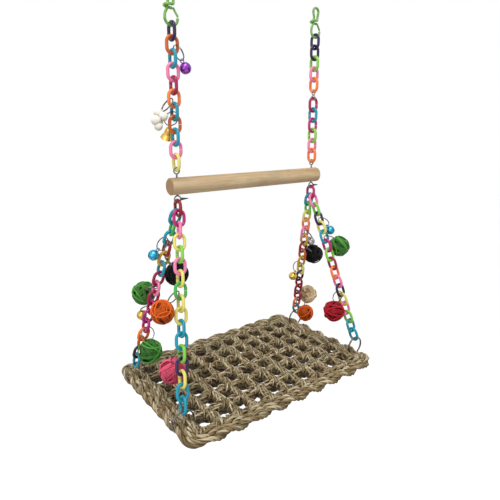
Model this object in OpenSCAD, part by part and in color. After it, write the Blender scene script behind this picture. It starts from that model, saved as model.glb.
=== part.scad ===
// Bird swing: a wooden perch hung on two plastic link chains, with a woven mat below it.
// X runs along the perch, Y to the back, Z up. The origin is the middle of the line
// between the two bars that the hooks hang on.

/* [Perch] */
// Length of the wooden dowel
perch_len = 190; // [150:1:240]
// Diameter of the dowel
perch_d = 16; // [13:0.5:20]
// Distance from each end of the dowel to its wire hole
hole_inset = 8; // [7:0.5:14]
// Diameter of the wire holes
hole_d = 2.4; // [2.2:0.1:3.4]
// Chamfer on the ends of the dowel
perch_chamfer = 1; // [0.4:0.1:2]

/* [Perch wires] */
// Diameter of the steel wire through the dowel
eye_wire = 1.4; // [1:0.1:1.8]
// Diameter of the twisted stem in the hole
stem_d = 2; // [1.6:0.1:2.1]
// Opening of the eye above the dowel
top_eye_bore = 4.4; // [4.1:0.1:6]
// Opening of the loop below the dowel
low_eye_bore = 5.2; // [4.6:0.1:7]
// Bare stem between the dowel and the upper eye
stem_rise = 2.7; // [1:0.1:5]
// Length of the dark sleeve on the cut wire end
tip_len = 7; // [3:0.5:9]
// Largest diameter of that sleeve
tip_d = 2.6; // [1.8:0.1:3.4]

/* [Links] */
// Outer length of a plastic link
link_len = 17.7; // [17:0.1:19]
// Outer width of a plastic link
link_w = 13.5; // [13.2:0.1:14.5]
// Thickness of the plastic rod that a link is bent from
link_wire = 3.1; // [2.6:0.1:3.1]
// Slit where a link is clipped open
link_slit = 0.4; // [0.3:0.1:1.4]
// Number of links from the left hook to the perch
left_links = 11; // [9:2:13]
// Number of links on the right side above the steel connector
right_links_above = 5; // [3:2:7]
// Number of links on the right side below the steel connector
right_links_below = 6; // [4:2:8]
// Number of links in each chain from the perch to the mat
side_links = 16; // [16:2:20]
// Turn of the second link of those chains, so that front and back pass each other
pass_turn = 15; // [10:1:20]

/* [Hooks] */
// Thickness of the painted hook wire
hook_wire = 2.3; // [1.8:0.1:2.4]
// Outer width of the lower eye of a hook
hook_eye_w = 14.5; // [14:0.1:16]
// Outer width of the upper loop of a hook
hook_head_w = 9.8; // [9.4:0.1:10.2]
// Height of a hook over all
hook_len = 32; // [31:0.5:38]

/* [Connector] */
// Wire thickness of the steel connector in the right chain
conn_wire = 1.2; // [1:0.1:1.4]
// Opening of each eye of the connector
conn_bore = 4.2; // [4.1:0.1:5]

/* [Mat] */
// Length of the woven mat over its border
mat_len = 247; // [236:1:262]
// Width of the woven mat over its border
mat_w = 168; // [150:1:180]
// Width of the braided border
border_w = 18; // [15:0.5:21]
// Thickness of the braided border
border_t = 15; // [13:0.5:17]
// Rounding of the border's section
border_round = 4.5; // [3:0.1:5.5]
// Radius of the inner corners of the border
inner_corner_r = 1; // [0.5:0.5:6]
// Thickness of the knotted field
field_t = 6; // [4:0.5:6]
// Rows of gaps across the field
field_rows = 6; // [5:1:7]
// Gaps in one row
field_cols = 10; // [8:1:11]
// Side of one gap in the field
field_gap = 10; // [7:0.1:11]
// How far the mat hangs to the left of the middle
mat_shift = 4; // [0:0.5:5]

/* [Mat rings] */
// Outer diameter of the four steel rings in the mat's border
mat_ring_d = 23.4; // [22:0.1:26]
// Wire thickness of those rings
mat_ring_wire = 2; // [1.6:0.1:2.4]
// Distance from the mat's end to the middle of a ring
mat_ring_end_inset = 6.5; // [4:0.5:9]
// Distance from the mat's long side to the middle of a ring
mat_ring_side_inset = 32; // [28:0.5:36]
// Height of the rings' middle over the middle of the mat
mat_ring_rise = 7; // [6:0.1:8]

/* [Toys] */
// Outer diameter of the split rings that the toys hang on
toy_ring_d = 15; // [14:0.1:16]
// Wire thickness of those rings
toy_ring_wire = 1.2; // [0.8:0.1:1.4]
// Diameter of a rattan ball
ball_d = 25; // [20:0.1:25.4]
// Diameter of the two smaller rattan balls, the orange ones
small_ball_d = 22; // [19:0.1:22]
// Thickness of the rattan strand round a ball
strand_d = 2; // [1.4:0.1:2.4]
// Turns of the strand round a ball
strand_turns = 6; // [4:1:6]
// Diameter of a jingle bell
bell_d = 10.6; // [9:0.1:12]
// Wall of a jingle bell
bell_wall = 0.7; // [0.5:0.05:1]
// Diameter of the pellet in a jingle bell
pellet_d = 3.2; // [2:0.1:4]
// Width of the slots in a jingle bell
bell_slot = 1.2; // [0.8:0.1:1.6]
// Wire thickness of a bell's loop
bell_loop_wire = 0.9; // [0.7:0.05:1.1]
// Opening of a bell's loop
bell_loop_bore = 2.4; // [2.2:0.1:3]
// Mouth diameter of the open bell
open_bell_d = 13; // [11:0.1:14]
// Height of the open bell
open_bell_h = 11; // [9:0.1:13]
// Wall of the open bell
open_bell_wall = 0.8; // [0.6:0.05:1]
// Diameter of the clapper ball in the open bell
clapper_d = 3.4; // [2.6:0.1:4]
// Diameter of each lobe of the white charm
charm_d = 15; // [12:0.1:16]

/* [Fits] */
// Play between wires that pass through each other
play = 0.3; // [0.2:0.05:0.4]

/* [Hidden] */
// Overrun of every cut past the face that it leaves
overrun = 1;
// Sides that round shapes are drawn with
$fn = 48;

// Derived sizes of a link
link_r = (link_w - link_wire) / 2;
link_span = link_len - link_wire;
link_pitch = link_len - 2 * link_wire - play;
link_straight = link_len - link_w;
link_to_link = link_wire + play;

// Derived sizes of the hooks, with heights over the middle of the lower eye's bottom wire
hook_r = hook_wire / 2;
hook_eye_r = (hook_eye_w - hook_wire) / 2;
hook_head_r = (hook_head_w - hook_wire) / 2;
hook_reach = hook_len - hook_wire;
hook_eye_z = hook_eye_r;
hook_neck_z = hook_eye_z + hook_eye_r * 1.55;
hook_head_z = hook_reach - hook_head_r;
hook_neck_half = hook_wire * 1.13;
hook_leg_z = hook_neck_z + hook_wire * 2.2;
hook_leg_x = hook_neck_half * 1.3;
hook_wrap_r = hook_wire * 1.16;
hook_to_link = hook_r + play + link_wire / 2;

// The sprung arm of a hook: its pivot, its free end and its line in X and Z
gate_r = hook_wire * 0.42;
gate_top = [hook_eye_r * 0.38, hook_neck_z - hook_wire * 0.72];
gate_foot = [hook_eye_r, hook_eye_z + hook_r + gate_r];
gate_line = (gate_foot - gate_top) / norm(gate_foot - gate_top);
gate_seat = gate_top - [gate_r + play, 0];

// Derived sizes of the perch wires, with heights over the axis of the dowel
perch_r = perch_d / 2;
top_eye_r = (top_eye_bore + eye_wire) / 2;
low_eye_r = (low_eye_bore + eye_wire) / 2;
top_eye_z = perch_r + stem_rise + eye_wire / 2 + top_eye_r;
low_eye_z = -(perch_r + play + eye_wire / 2 + low_eye_r);
eye_to_link = eye_wire / 2 + play + link_wire / 2;
last_wire_z = top_eye_z + top_eye_r - eye_to_link;

// Derived sizes of the connector in the right chain
conn_r = (conn_bore + conn_wire) / 2;
conn_to_link = conn_wire / 2 + play + link_wire / 2;
conn_spacing = 2 * conn_r + conn_wire / 2;
conn_drop = conn_spacing + 2 * (conn_r - conn_to_link);

// Lengths of the two upper chains, from the hook's eye wire to the last link's bottom wire
right_links = right_links_above + right_links_below;
left_chain_len = (left_links - 1) * link_pitch + link_span - hook_to_link;
right_chain_len = (right_links - 2) * link_pitch + 2 * link_span + conn_drop - hook_to_link;
perch_z = -(hook_reach - hook_r + (left_chain_len + right_chain_len) / 2 + last_wire_z);
left_eye_wire_z = perch_z + last_wire_z + left_chain_len;
right_eye_wire_z = perch_z + last_wire_z + right_chain_len;
hole_x = perch_len / 2 - hole_inset;

// Derived sizes of the chains below the perch
shared_top_z = perch_z + low_eye_z - low_eye_r + eye_to_link;
shared_arc_z = shared_top_z - link_span + link_r;
side_start_y = link_to_link / 2 + play / 3;
mat_ring_x = mat_len / 2 - mat_ring_end_inset;
mat_ring_y = mat_w / 2 - mat_ring_side_inset;
mat_ring_r = (mat_ring_d - mat_ring_wire) / 2;
mat_ring_to_link = mat_ring_wire / 2 + play + link_wire / 2;
side_len = (side_links - 1) * link_pitch + link_span;
side_dx = mat_ring_x - hole_x;
side_dy = mat_ring_y - side_start_y;
side_dz = sqrt(side_len * side_len - side_dx * side_dx - side_dy * side_dy);
mat_ring_z = shared_arc_z - side_dz + mat_ring_to_link - mat_ring_r;
mat_z = mat_ring_z - mat_ring_rise;

// Derived sizes of the mat
inner_len = mat_len - 2 * border_w;
inner_w = mat_w - 2 * border_w;
border_corner = inner_corner_r + border_w / 2;
border_outer_r = inner_corner_r + border_w;
field_pitch_x = inner_len / field_cols;
field_pitch_y = inner_w / field_rows;

// Derived sizes of the toys
toy_ring_r = (toy_ring_d - toy_ring_wire) / 2;
toy_cross = link_w / 2 - link_wire - play - toy_ring_wire / 2;
ball_bite = 1.5;
bell_loop_r = (bell_loop_bore + bell_loop_wire) / 2;
bell_loop_seat = bell_loop_bore / 2 - toy_ring_wire / 2 - play;
toy_clear = 0.4;

// Colours of the links from the top down, by the first letters of the list below
shades = [
  ["p", "indigo"], ["b", "chocolate"], ["t", "teal"], ["k", "hotpink"], ["c", "crimson"],
  ["o", "darkorange"], ["g", "yellowgreen"], ["y", "khaki"], ["m", "mediumvioletred"],
  ["r", "darkred"], ["s", "lightsalmon"], ["n", "limegreen"]
];
left_upper_shades = "pbtkcotbtky";
right_upper_shades = "ppgkoctmgko";
left_front_shades = "mkygkynyyttgpytt";
left_back_shades = "tntrytpckrcmpoot";
right_front_shades = "kgpytmgcokpyogkt";
right_back_shades = "tgyskyroypyrrcot";

// Plain vector helpers
function unit(v) = v / norm(v);
function shade(key) = [for (s = shades) if (s[0] == key) s[1]][0];
function is_even(i) = i % 2 == 0;

// A frame is [point, lateral, down] of a link, the point in the middle of its opening
function upper_frame(side, z, even) = [
  [side * hole_x, 0, z],
  even ? [1, 0, 0] : [0, 1, 0],
  [0, 0, -1]
];
function left_link_z(i) = left_eye_wire_z + hook_to_link - link_span / 2 - (i - 1) * link_pitch;
function right_link_z(i) =
  i <= right_links_above
    ? right_eye_wire_z + hook_to_link - link_span / 2 - (i - 1) * link_pitch
    : right_eye_wire_z + hook_to_link - link_span * 1.5 - conn_drop - (i - 2) * link_pitch;
function left_upper_frame(i) = upper_frame(-1, left_link_z(i), is_even(i));
function right_upper_frame(i) = upper_frame(1, right_link_z(i), is_even(i));

// The chains below the perch run straight from the shared link to a ring of the mat
function side_start(sx, sy) = [sx * hole_x, sy * side_start_y, shared_arc_z];
function side_down(sx, sy) = [sx * side_dx, sy * side_dy, -side_dz] / side_len;
function side_across(sx, sy) =
  let (d = side_down(sx, sy)) unit([1, 0, 0] - d[0] * d);
function side_along(sx, sy) =
  let (n = cross(side_down(sx, sy), side_across(sx, sy))) n[1] < 0 ? -n : n;
function side_turn(i) = (is_even(i) ? 90 : 0) - (i == 2 ? pass_turn : 0);
function side_frame(sx, sy, i) = [
  side_start(sx, sy) + side_down(sx, sy) * ((i - 1) * link_pitch + link_span / 2),
  side_across(sx, sy) * cos(side_turn(i)) + side_along(sx, sy) * sin(side_turn(i)),
  side_down(sx, sy)
];

// Moves a child drawn with lateral X and height Z into a frame
module in_frame(f) {
  z = -f[2];
  x = f[1];
  y = cross(z, x);
  multmatrix([
    [x[0], y[0], z[0], f[0][0]],
    [x[1], y[1], z[1], f[0][1]],
    [x[2], y[2], z[2], f[0][2]],
    [0, 0, 0, 1]
  ]) children();
}

// A torus of a given middle radius and wire, lying in the XZ plane
module ring_xz(r, wire) {
  rotate([90, 0, 0])
    rotate_extrude()
      translate([r, 0]) circle(d = wire);
}

// Half of such a torus, the half with Z over zero
module half_ring_xz(r, wire) {
  rotate([90, 0, 0])
    rotate_extrude(angle = 180)
      translate([r, 0]) circle(d = wire);
}

// A straight rod along Z between two heights
module rod_z(x, z0, z1, wire) {
  translate([x, 0, z0]) cylinder(d = wire, h = z1 - z0);
}

// An open plastic link in the XZ plane about the middle of its opening
module link() {
  s = link_straight / 2;
  translate([0, 0, s]) half_ring_xz(link_r, link_wire);
  rotate([0, 180, 0]) translate([0, 0, s]) half_ring_xz(link_r, link_wire);
  rod_z(-link_r, -s, s, link_wire);
  rod_z(link_r, -s, -link_slit / 2, link_wire);
  rod_z(link_r, link_slit / 2, s, link_wire);
}

module link_at(f, key) {
  color(shade(key)) in_frame(f) link();
}

// A tube swept along points, each with a vector that the section's first corner points to
function ring_points(p, t, n, r, sides) =
  let (u = unit(n - (n * t) * t), v = cross(t, u))
  [for (k = [0 : sides - 1]) p + r * cos(360 * k / sides) * u + r * sin(360 * k / sides) * v];

module tube(points, normals, r, sides) {
  last = len(points) - 1;
  rings = [
    for (i = [0 : last])
      let (a = points[max(i - 1, 0)], b = points[min(i + 1, last)])
      ring_points(points[i], unit(b - a), normals[i], r, sides)
  ];
  corners = [for (ring = rings) for (c = ring) c];
  walls = [
    for (i = [0 : last - 1]) for (k = [0 : sides - 1])
      let (
        m = (k + 1) % sides,
        a = i * sides + k,
        b = i * sides + m,
        c = (i + 1) * sides + m,
        d = (i + 1) * sides + k
      )
      each [[a, c, b], [a, d, c]]
  ];
  start_cap = [for (k = [1 : sides - 2]) [0, k, k + 1]];
  e = last * sides;
  end_cap = [for (k = [1 : sides - 2]) [e, e + k + 1, e + k]];
  polyhedron(points = corners, faces = concat(walls, start_cap, end_cap), convexity = 6);
}

// Route of the hook wire: from the nose round the lower eye, up one leg, over the upper loop, down
// the other leg, then once round the first leg and on to the gate
function arc_xz(cx, cz, r, a0, a1, steps) = [
  for (i = [0 : steps])
    let (a = a0 + (a1 - a0) * i / steps)
    [cx + r * cos(a), 0, cz + r * sin(a)]
];
function leg_point(side) =
  [side * (hook_head_r + hook_neck_half) * 0.52, 0, (hook_head_z + hook_leg_z) / 2];
hook_flat = concat(
  arc_xz(0, hook_eye_z, hook_eye_r, 0, -180, 16),
  [
    [-hook_eye_r * 0.92, 0, hook_eye_z * 1.6],
    [-hook_leg_x * 1.12, 0, hook_neck_z - hook_wire],
    [-hook_leg_x * 0.98, 0, hook_neck_z + hook_wire * 0.3],
    [-hook_neck_half, 0, hook_leg_z],
    leg_point(-1)
  ],
  arc_xz(0, hook_head_z, hook_head_r, 180, 0, 12),
  [
    leg_point(1),
    [hook_neck_half, 0, hook_leg_z],
    [hook_neck_half, 0, hook_neck_z + hook_wire * 1.3]
  ]
);
hook_bend = [
  [hook_neck_half * 0.72, -hook_wrap_r * 0.25, hook_neck_z + hook_wire * 0.8],
  [0, -hook_wrap_r * 0.72, hook_neck_z + hook_wire * 0.52]
];
hook_wrap = concat(
  [
    for (i = [0 : 8])
      let (s = i / 8, a = -75 - 210 * s)
      [
        -hook_leg_x + hook_wrap_r * cos(a),
        hook_wrap_r * sin(a),
        hook_neck_z + hook_wire * (0.42 - 0.55 * s)
      ]
  ],
  [
    [-hook_neck_half * 0.45, hook_wrap_r * 0.62, hook_neck_z - hook_wire * 0.4],
    [0, hook_wrap_r * 0.16, hook_neck_z - hook_wire * 0.64],
    [gate_seat[0], 0, gate_seat[1]]
  ]
);
hook_normals = concat(
  [for (p = hook_flat) [0, 1, 0]],
  [[0, 0.9, 0.4], [0, 0.6, 0.8]],
  [for (p = hook_wrap) [0, 0, 1]]
);

module hook_at(x, z) {
  color("olivedrab")
    translate([x, 0, z])
      tube(concat(hook_flat, hook_bend, hook_wrap), hook_normals, hook_r, 10);
}

// The sprung arm that closes the lower eye, rounded at its pivot and its free end
module gate_at(x, z) {
  color("olive")
    translate([x + gate_top[0], 0, z + gate_top[1]])
      rotate([0, 180 - atan2(gate_line[0], -gate_line[1]), 0]) {
        sphere(r = gate_r);
        cylinder(r = gate_r, h = norm(gate_foot - gate_top));
        translate([0, 0, norm(gate_foot - gate_top)]) sphere(r = gate_r);
      }
}

module left_hook() {
  hook_at(-hole_x, left_eye_wire_z);
}

module right_hook() {
  hook_at(hole_x, right_eye_wire_z);
}

module left_hook_gate() {
  gate_at(-hole_x, left_eye_wire_z);
}

module right_hook_gate() {
  gate_at(hole_x, right_eye_wire_z);
}

module left_first_link() {
  link_at(left_upper_frame(1), left_upper_shades[0]);
}

module left_upper_chain() {
  for (i = [2 : left_links]) link_at(left_upper_frame(i), left_upper_shades[i - 1]);
}

module right_first_link() {
  link_at(right_upper_frame(1), right_upper_shades[0]);
}

module right_upper_chain() {
  for (i = [2 : right_links]) link_at(right_upper_frame(i), right_upper_shades[i - 1]);
}

// Two small steel eyes, a quarter turn apart, joined at a twisted neck
module chain_connector() {
  top_wire_z = right_link_z(right_links_above) - link_span / 2 + conn_to_link;
  color("silver") translate([hole_x, 0, top_wire_z - conn_r]) {
    ring_xz(conn_r, conn_wire);
    translate([0, 0, -conn_spacing]) rotate([0, 0, 90]) ring_xz(conn_r, conn_wire);
  }
}

// The dowel, turned with chamfered ends and drilled twice
module perch_dowel() {
  color("burlywood") translate([0, 0, perch_z]) difference() {
    rotate([0, 90, 0])
      rotate_extrude()
        polygon([
          [0, -perch_len / 2],
          [perch_r - perch_chamfer, -perch_len / 2],
          [perch_r, perch_chamfer - perch_len / 2],
          [perch_r, perch_len / 2 - perch_chamfer],
          [perch_r - perch_chamfer, perch_len / 2],
          [0, perch_len / 2]
        ]);
    for (s = [-1, 1])
      translate([s * hole_x, 0, -perch_r - overrun])
        cylinder(d = hole_d, h = perch_d + 2 * overrun);
  }
}

// A wire twisted through the hole, with an eye over the dowel and a loop under it
module eye_wire_at(x) {
  color("gray") translate([x, 0, perch_z]) {
    translate([0, 0, top_eye_z]) ring_xz(top_eye_r, eye_wire);
    translate([0, 0, low_eye_z]) ring_xz(low_eye_r, eye_wire);
    translate([0, 0, low_eye_z + low_eye_r])
      cylinder(d = stem_d, h = top_eye_z - top_eye_r - low_eye_z - low_eye_r);
  }
}

module left_eye_wire() {
  eye_wire_at(-hole_x);
}

module right_eye_wire() {
  eye_wire_at(hole_x);
}

// Dark sleeves on the cut ends of both wires
module wire_tips() {
  color("darkslategray")
    for (s = [-1, 1])
      translate([s * hole_x + low_eye_r + eye_wire / 2 + play / 2, 0, perch_z + low_eye_z])
        rotate([0, 90, 0])
          cylinder(d1 = tip_d, d2 = tip_d * 0.3, h = tip_len);
}

module shared_link_at(side, tint) {
  color(tint)
    in_frame(upper_frame(side, shared_top_z - link_span / 2, false)) link();
}

module left_shared_link() {
  shared_link_at(-1, "darkred");
}

module right_shared_link() {
  shared_link_at(1, "mediumvioletred");
}

module side_chain(sx, sy, keys) {
  for (i = [1 : side_links]) link_at(side_frame(sx, sy, i), keys[(i - 1) % len(keys)]);
}

module left_front_chain() {
  side_chain(-1, -1, left_front_shades);
}

module left_back_chain() {
  side_chain(-1, 1, left_back_shades);
}

module right_front_chain() {
  side_chain(1, -1, right_front_shades);
}

module right_back_chain() {
  side_chain(1, 1, right_back_shades);
}

// The knotted field: a grid of square gaps with bands of grass between them
module mat_field() {
  x = inner_len / 2;
  y = inner_w / 2;
  c = inner_corner_r;
  color("darkkhaki") difference() {
    translate([-mat_shift, 0, mat_z - field_t / 2])
      linear_extrude(field_t)
        difference() {
          polygon([
            [c - x, -y], [x - c, -y], [x, c - y], [x, y - c],
            [x - c, y], [c - x, y], [-x, y - c], [-x, c - y]
          ]);
          for (row = [0 : field_rows - 1]) for (col = [0 : field_cols - 1])
            translate([(col + 0.5) * field_pitch_x - x, (row + 0.5) * field_pitch_y - y])
              square(field_gap, center = true);
        }
    ring_channels();
  }
}

// The room that the four rings need where they are threaded through the mat
module ring_channels() {
  for (sx = [-1, 1]) for (sy = [-1, 1])
    translate([sx * mat_ring_x, sy * mat_ring_y, mat_ring_z])
      ring_xz(mat_ring_r, mat_ring_wire + 2 * play);
}

// Section of the border about its middle
module border_section() {
  square([border_w - 2 * border_round, border_t], center = true);
  square([border_w, border_t - 2 * border_round], center = true);
  for (sx = [-1, 1]) for (sy = [-1, 1])
    translate([sx * (border_w / 2 - border_round), sy * (border_t / 2 - border_round)])
      circle(r = border_round);
}

// The braided border as a closed frame, with a channel where each ring is threaded
module mat_border() {
  run_x = mat_len - 2 * border_outer_r;
  run_y = mat_w - 2 * border_outer_r;
  color("tan") difference() {
    translate([-mat_shift, 0, mat_z]) {
      for (s = [-1, 1]) {
        translate([-run_x / 2, s * (mat_w - border_w) / 2, 0])
          rotate([90, 0, 90]) linear_extrude(run_x) border_section();
        translate([s * (mat_len - border_w) / 2, run_y / 2, 0])
          rotate([90, 0, 0]) linear_extrude(run_y) border_section();
      }
      for (k = [0 : 3])
        rotate([0, 0, 90 * k])
          translate([
            (is_even(k) ? run_x : run_y) / 2,
            (is_even(k) ? run_y : run_x) / 2,
            0
          ])
            rotate_extrude(angle = 90)
              translate([border_corner, 0]) border_section();
    }
    ring_channels();
  }
}

module mat_rings() {
  color("silver")
    for (sx = [-1, 1]) for (sy = [-1, 1])
      translate([sx * mat_ring_x, sy * mat_ring_y, mat_ring_z])
        ring_xz(mat_ring_r, mat_ring_wire);
}

// Toys: a split ring through a link's opening, and the toy on its far side.
// The toy leans on the chain, so its reach and size give the angle of the ring.
function toy_reach(toy_r, bite) = 2 * toy_ring_r + toy_r - bite;
function toy_lean(toy_r, bite) =
  acos((toy_r + link_w / 2 + toy_clear - toy_cross) / toy_reach(toy_r, bite));

// Draws its child along the line of the toy, with the ring's crossing at zero.
// The ring runs in the XY plane there, and X points to the toy.
module on_link(f, side, toy_r, bite) {
  lean = toy_lean(toy_r, bite);
  in_frame(f)
    mirror([side < 0 ? 1 : 0, 0, 0])
      translate([toy_cross, 0, 0])
        rotate([0, lean, 0])
          children();
}

module toy_ring(f, side, toy_r, bite) {
  color("silver")
    on_link(f, side, toy_r, bite)
      translate([toy_ring_r, 0, 0])
        rotate_extrude()
          translate([toy_ring_r, 0]) circle(d = toy_ring_wire);
}

// Route of the strand: one spiral from pole to pole, the poles on the toy's line
strand_steps = 12;
pole_angle = 26;
function strand_point(r, s) =
  let (polar = pole_angle + (180 - 2 * pole_angle) * s, turn = 360 * strand_turns * s)
  [r * cos(polar), r * sin(polar) * cos(turn), r * sin(polar) * sin(turn)];
function strand_route(r) = [
  for (i = [0 : strand_turns * strand_steps]) strand_point(r, i / (strand_turns * strand_steps))
];

// Least gap of the strand to itself, between points over half a turn apart
function strand_gap(r) =
  let (route = strand_route(r), n = len(route) - 1)
  min([
    for (i = [0 : n]) for (k = [i + strand_steps / 2 : 1 : n]) norm(route[i] - route[k])
  ]) - strand_d;

// A ball of cane: the outer winding over the core that its inner strands fill
module rattan_ball(f, side, d, tint) {
  r = d / 2;
  route = strand_route(r - strand_d / 2);
  color(tint)
    on_link(f, side, r, ball_bite)
      translate([toy_reach(r, ball_bite), 0, 0]) {
        sphere(r = (r - strand_d) * cos(180 / strand_steps) - play);
        tube(route, route, strand_d / 2, 6);
      }
}

// A round bell: two slots across its lower half, a loop and a loose pellet
module jingle_bell(f, side, tint) {
  r = bell_d / 2;
  hang = bell_hang(r);
  color(tint)
    on_link(f, side, r, -hang)
      translate([toy_reach(r, -hang), 0, 0]) {
        difference() {
          sphere(r = r);
          sphere(r = r - bell_wall);
          for (a = [0, 90])
            rotate([a, 0, 0])
              translate([0, -r - overrun, -bell_slot / 2])
                cube([r + overrun, 2 * (r + overrun), bell_slot]);
        }
        translate([r - bell_wall - pellet_d / 2 - play, 0, 0]) sphere(d = pellet_d);
        translate([-r - bell_loop_r + bell_wall / 2, 0, 0]) ring_xz(bell_loop_r, bell_loop_wire);
      }
}

// Distance from the far wire of the ring to the top of a bell with such a loop
function bell_hang(r) = bell_loop_r - bell_wall / 2 + bell_loop_seat;

// An open bell as a turned cup with a loop and a clapper
module open_bell_cup(h, d) {
  shares = [[0, 0.12], [0.05, 0.42], [0.3, 0.56], [0.62, 0.68], [0.85, 0.86], [1, 1]];
  outer = [for (s = shares) [s[1] * d / 2, -s[0] * h]];
  inner = [
    for (i = [len(shares) - 1 : -1 : 1])
      [shares[i][1] * d / 2 - open_bell_wall, -shares[i][0] * h - (i == 1 ? open_bell_wall : 0)]
  ];
  rotate_extrude()
    polygon(concat([[0, 0]], outer, inner, [[0, -open_bell_wall * 1.6]]));
}

open_bell_r = open_bell_d / 2;
open_bell_hang = bell_loop_r + bell_loop_seat;

module open_bell() {
  f = left_upper_frame(7);
  color("gold")
    on_link(f, 1, open_bell_r, -open_bell_hang)
      translate([2 * toy_ring_r + open_bell_hang, 0, 0]) {
        rotate([0, -90, 0]) open_bell_cup(open_bell_h, open_bell_d);
        translate([-bell_loop_r, 0, 0]) ring_xz(bell_loop_r, bell_loop_wire);
      }
}

// The clapper swings about the top of its stem, just under the cup's roof
clapper_top = open_bell_wall * 1.6 + play;
module open_bell_clapper() {
  color("goldenrod")
    on_link(left_upper_frame(7), 1, open_bell_r, -open_bell_hang)
      translate([2 * toy_ring_r + open_bell_hang + clapper_top, 0, 0]) {
        rotate([0, 90, 0])
          cylinder(d = bell_loop_wire, h = open_bell_h * 0.62 - clapper_top);
        translate([open_bell_h * 0.62 - clapper_top, 0, 0]) sphere(d = clapper_d);
      }
}

module open_bell_ring() {
  toy_ring(left_upper_frame(7), 1, open_bell_r, -open_bell_hang);
}

// Two lobes of white cane, with a channel that the ring is threaded through
module white_charm() {
  r = charm_d / 2;
  color("ivory")
    on_link(left_upper_frame(6), -1, r, ball_bite)
      difference() {
        translate([toy_reach(r, ball_bite), 0, 0]) {
          sphere(r = r);
          translate([r * 0.8, 0, r * 0.35]) sphere(r = r * 0.9);
        }
        translate([toy_ring_r, 0, 0])
          rotate_extrude()
            translate([toy_ring_r, 0]) circle(d = toy_ring_wire + 2 * play);
      }
}

module white_charm_ring() {
  toy_ring(left_upper_frame(6), -1, charm_d / 2, ball_bite);
}

// Where each ball hangs: the chain's two sides, the link's number and its lateral side
module ball_on(sx, sy, i, side, tint, d = ball_d) {
  rattan_ball(side_frame(sx, sy, i), side, d, tint);
}

module ball_ring_on(sx, sy, i, side, d = ball_d) {
  toy_ring(side_frame(sx, sy, i), side, d / 2, ball_bite);
}

module bell_ring_on(f, side) {
  toy_ring(f, side, bell_d / 2, -bell_hang(bell_d / 2));
}

left_hook();
left_hook_gate();
right_hook();
right_hook_gate();
left_first_link();
left_upper_chain();
right_first_link();
right_upper_chain();
chain_connector();
perch_dowel();
left_eye_wire();
right_eye_wire();
wire_tips();
left_shared_link();
left_front_chain();
left_back_chain();
right_shared_link();
right_front_chain();
right_back_chain();
mat_field();
mat_border();
mat_rings();
ball_on(-1, 1, 8, 1, "forestgreen");  // left_green_ball
ball_ring_on(-1, 1, 8, 1);  // left_green_ball_ring
ball_on(-1, 1, 5, 1, "black");  // left_black_ball
ball_ring_on(-1, 1, 5, 1);  // left_black_ball_ring
ball_on(-1, -1, 7, -1, "orangered", small_ball_d);  // left_orange_ball
ball_ring_on(-1, -1, 7, -1, small_ball_d);  // left_orange_ball_ring
ball_on(-1, 1, 12, -1, "forestgreen");  // low_green_ball
ball_ring_on(-1, 1, 12, -1);  // low_green_ball_ring
ball_on(-1, -1, 12, 1, "deeppink");  // left_pink_ball
ball_ring_on(-1, -1, 12, 1);  // left_pink_ball_ring
ball_on(1, -1, 5, 1, "forestgreen");  // right_green_ball
ball_ring_on(1, -1, 5, 1);  // right_green_ball_ring
ball_on(1, 1, 7, 1, "black");  // right_black_ball
ball_ring_on(1, 1, 7, 1);  // right_black_ball_ring
ball_on(1, 1, 13, 1, "wheat");  // cream_ball
ball_ring_on(1, 1, 13, 1);  // cream_ball_ring
ball_on(1, -1, 11, -1, "firebrick");  // red_ball
ball_ring_on(1, -1, 11, -1);  // red_ball_ring
ball_on(1, 1, 14, -1, "orangered", small_ball_d);  // right_orange_ball
ball_ring_on(1, 1, 14, -1, small_ball_d);  // right_orange_ball_ring
jingle_bell(side_frame(-1, 1, 3), -1, "dodgerblue");  // left_blue_bell
bell_ring_on(side_frame(-1, 1, 3), -1);  // left_blue_bell_ring
jingle_bell(side_frame(-1, 1, 10), 1, "gold");  // left_gold_bell
bell_ring_on(side_frame(-1, 1, 10), 1);  // left_gold_bell_ring
jingle_bell(side_frame(1, -1, 3), 1, "dodgerblue");  // right_blue_bell
bell_ring_on(side_frame(1, -1, 3), 1);  // right_blue_bell_ring
jingle_bell(side_frame(1, 1, 5), 1, "lightgray");  // silver_bell
bell_ring_on(side_frame(1, 1, 5), 1);  // silver_bell_ring
jingle_bell(side_frame(1, 1, 9), -1, "gold");  // right_gold_bell
bell_ring_on(side_frame(1, 1, 9), -1);  // right_gold_bell_ring
jingle_bell(left_upper_frame(2), 1, "darkorchid");  // purple_bell
bell_ring_on(left_upper_frame(2), 1);  // purple_bell_ring
open_bell();
open_bell_clapper();
open_bell_ring();
white_charm();
white_charm_ring();
echo(least_strand_gap = strand_gap(ball_d / 2 - strand_d / 2));
echo(least_small_strand_gap = strand_gap(small_ball_d / 2 - strand_d / 2));
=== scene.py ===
import math

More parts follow.
